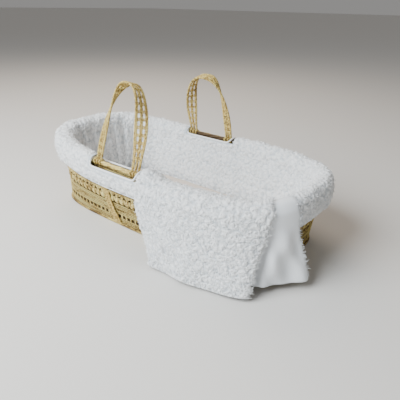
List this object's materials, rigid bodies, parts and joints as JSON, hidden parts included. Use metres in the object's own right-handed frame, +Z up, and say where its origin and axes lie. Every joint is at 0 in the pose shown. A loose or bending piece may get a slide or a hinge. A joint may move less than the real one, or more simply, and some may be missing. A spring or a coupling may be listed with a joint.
{
  "type": "moses basket",
  "caption": "Long oval woven straw baby basket with two plaited carrying handles, a padded plush liner over the rim, a sheeted mattress and a folded blanket hung over one side.",
  "frame": {"origin": "centre of the underside of the base mat, on the floor", "axes": "+X along the basket to the foot end, -Y towards the side with the blanket, +Z up"},
  "size_m": [0.9086, 0.5214, 0.4191],
  "materials": {
    "straw": "dry woven straw",
    "straw_plait": "plaited straw, slightly glossy",
    "plush": "white rosette plush",
    "binding": "smooth white cotton bias binding",
    "sheet": "smooth cream cotton",
    "foam": "ticking over foam",
    "satin": "white satin"
  },
  "bodies": {
    "basket": {"base_mat": "straw", "foot_braid": "straw", "lower_weave": "straw", "leaf_band": "straw", "upper_weave": "straw", "rim_roll": "straw_plait", "liner_floor": "binding", "liner_wall": "plush", "liner_skirt": "plush", "skirt_elastic": "binding", "front_slot_binding": "binding", "rear_slot_binding": "binding", "front_strap_tail_left": "straw_plait", "front_strap_tail_right": "straw_plait", "rear_strap_tail_left": "straw_plait", "rear_strap_tail_right": "straw_plait"},
    "front_handle": {"front_handle_cord_outer": "straw_plait", "front_handle_cord_middle": "straw_plait", "front_handle_cord_inner": "straw_plait", "front_handle_lashing_left": "straw_plait", "front_handle_lashing_right": "straw_plait"},
    "rear_handle": {"rear_handle_cord_outer": "straw_plait", "rear_handle_cord_middle": "straw_plait", "rear_handle_cord_inner": "straw_plait", "rear_handle_lashing_left": "straw_plait", "rear_handle_lashing_right": "straw_plait"},
    "mattress": {"mattress_core": "foam", "mattress_sheet": "sheet"},
    "blanket": {"blanket_plush": "plush", "blanket_satin": "satin"}
  },
  "joints": [
    {"name": "front_handle_fold", "type": "hinge", "parent": "basket", "child": "front_handle", "pos_m": [-0.043, -0.20925, 0.20062], "axis": [0.9999, -0.0102, -0.0085], "range_deg": [-36, 110]},
    {"name": "rear_handle_fold", "type": "hinge", "parent": "basket", "child": "rear_handle", "pos_m": [-0.043, 0.20925, 0.20062], "axis": [-0.9999, -0.0102, 0.0085], "range_deg": [-41, 105]},
    {"name": "mattress_lift", "type": "slide", "parent": "basket", "child": "mattress", "axis": [0, 0, 1], "range_m": [0, 0.17]},
    {"name": "blanket_lift", "type": "slide", "parent": "basket", "child": "blanket", "axis": [0, 0, 1], "range_m": [0, 0.25]}
  ]
}
